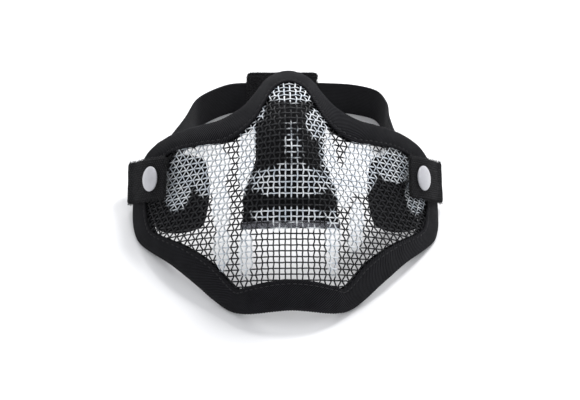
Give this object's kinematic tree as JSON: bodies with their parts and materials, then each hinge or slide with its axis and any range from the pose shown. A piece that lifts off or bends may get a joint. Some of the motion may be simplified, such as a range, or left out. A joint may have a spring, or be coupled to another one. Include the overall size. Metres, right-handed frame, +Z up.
{
  "type": "half-face mesh mask",
  "caption": "Half-face mask of stamped wire mesh with a taped padded rim, press-stud webbing tabs and an elastic head loop closed by hook-and-loop.",
  "frame": {"origin": "on the surface the mask rests on, under the middle of its bounding box", "axes": "+Z up, the front of the mask towards -Y, the head loop towards +Y, the wearer's left and right along X"},
  "size_m": [0.1818, 0.1812, 0.0914],
  "materials": {
    "mesh": "black coated wire sprayed white and grey on the front",
    "binding": "twill tape, matt",
    "foam": "cloth-faced foam, matt",
    "lining": "thin knit, matt",
    "webbing": "brushed loop webbing, fuzzy",
    "cap": "pale grey enamel, satin",
    "snap_metal": "plated, satin",
    "elastic": "ribbed elastic, slight sheen",
    "pile": "looped pile, matt"
  },
  "bodies": {
    "mask": {"mesh_shell": "mesh", "upper_binding": "binding", "lower_binding": "binding", "jaw_foam": "foam", "right_cheek_foam": "foam", "left_cheek_foam": "foam", "nose_lining": "lining", "left_cheek_pad": "lining", "right_cheek_pad": "lining", "left_snap_stud": "snap_metal", "left_snap_post": "snap_metal", "right_snap_stud": "snap_metal", "right_snap_post": "snap_metal"},
    "left_tab": {"left_tab": "webbing", "left_snap_cap": "cap", "left_snap_socket": "snap_metal"},
    "right_tab": {"right_tab": "webbing", "right_snap_cap": "cap", "right_snap_socket": "snap_metal"},
    "strap": {"left_band": "elastic", "right_band": "elastic"},
    "closure": {"loop_patch": "pile", "hook_patch": "pile"}
  },
  "joints": [
    {"name": "left_snap_release", "type": "slide", "parent": "mask", "child": "left_tab", "axis": [-0.8042, -0.3825, 0.455], "range_m": [0, 0.004]},
    {"name": "right_snap_release", "type": "slide", "parent": "mask", "child": "right_tab", "axis": [0.8042, -0.3825, 0.455], "range_m": [0, 0.004]},
    {"name": "strap_swing", "type": "hinge", "parent": "mask", "child": "strap", "pos_m": [0, 0.00973, 0.00994], "axis": [1, 0, 0], "range_deg": [0, 50]},
    {"name": "strap_stretch", "type": "slide", "parent": "strap", "child": "closure", "axis": [0, 1, 0], "range_m": [0, 0.04], "stiffness_N_per_m": 80, "deforming": ["left_band", "right_band"]}
  ]
}
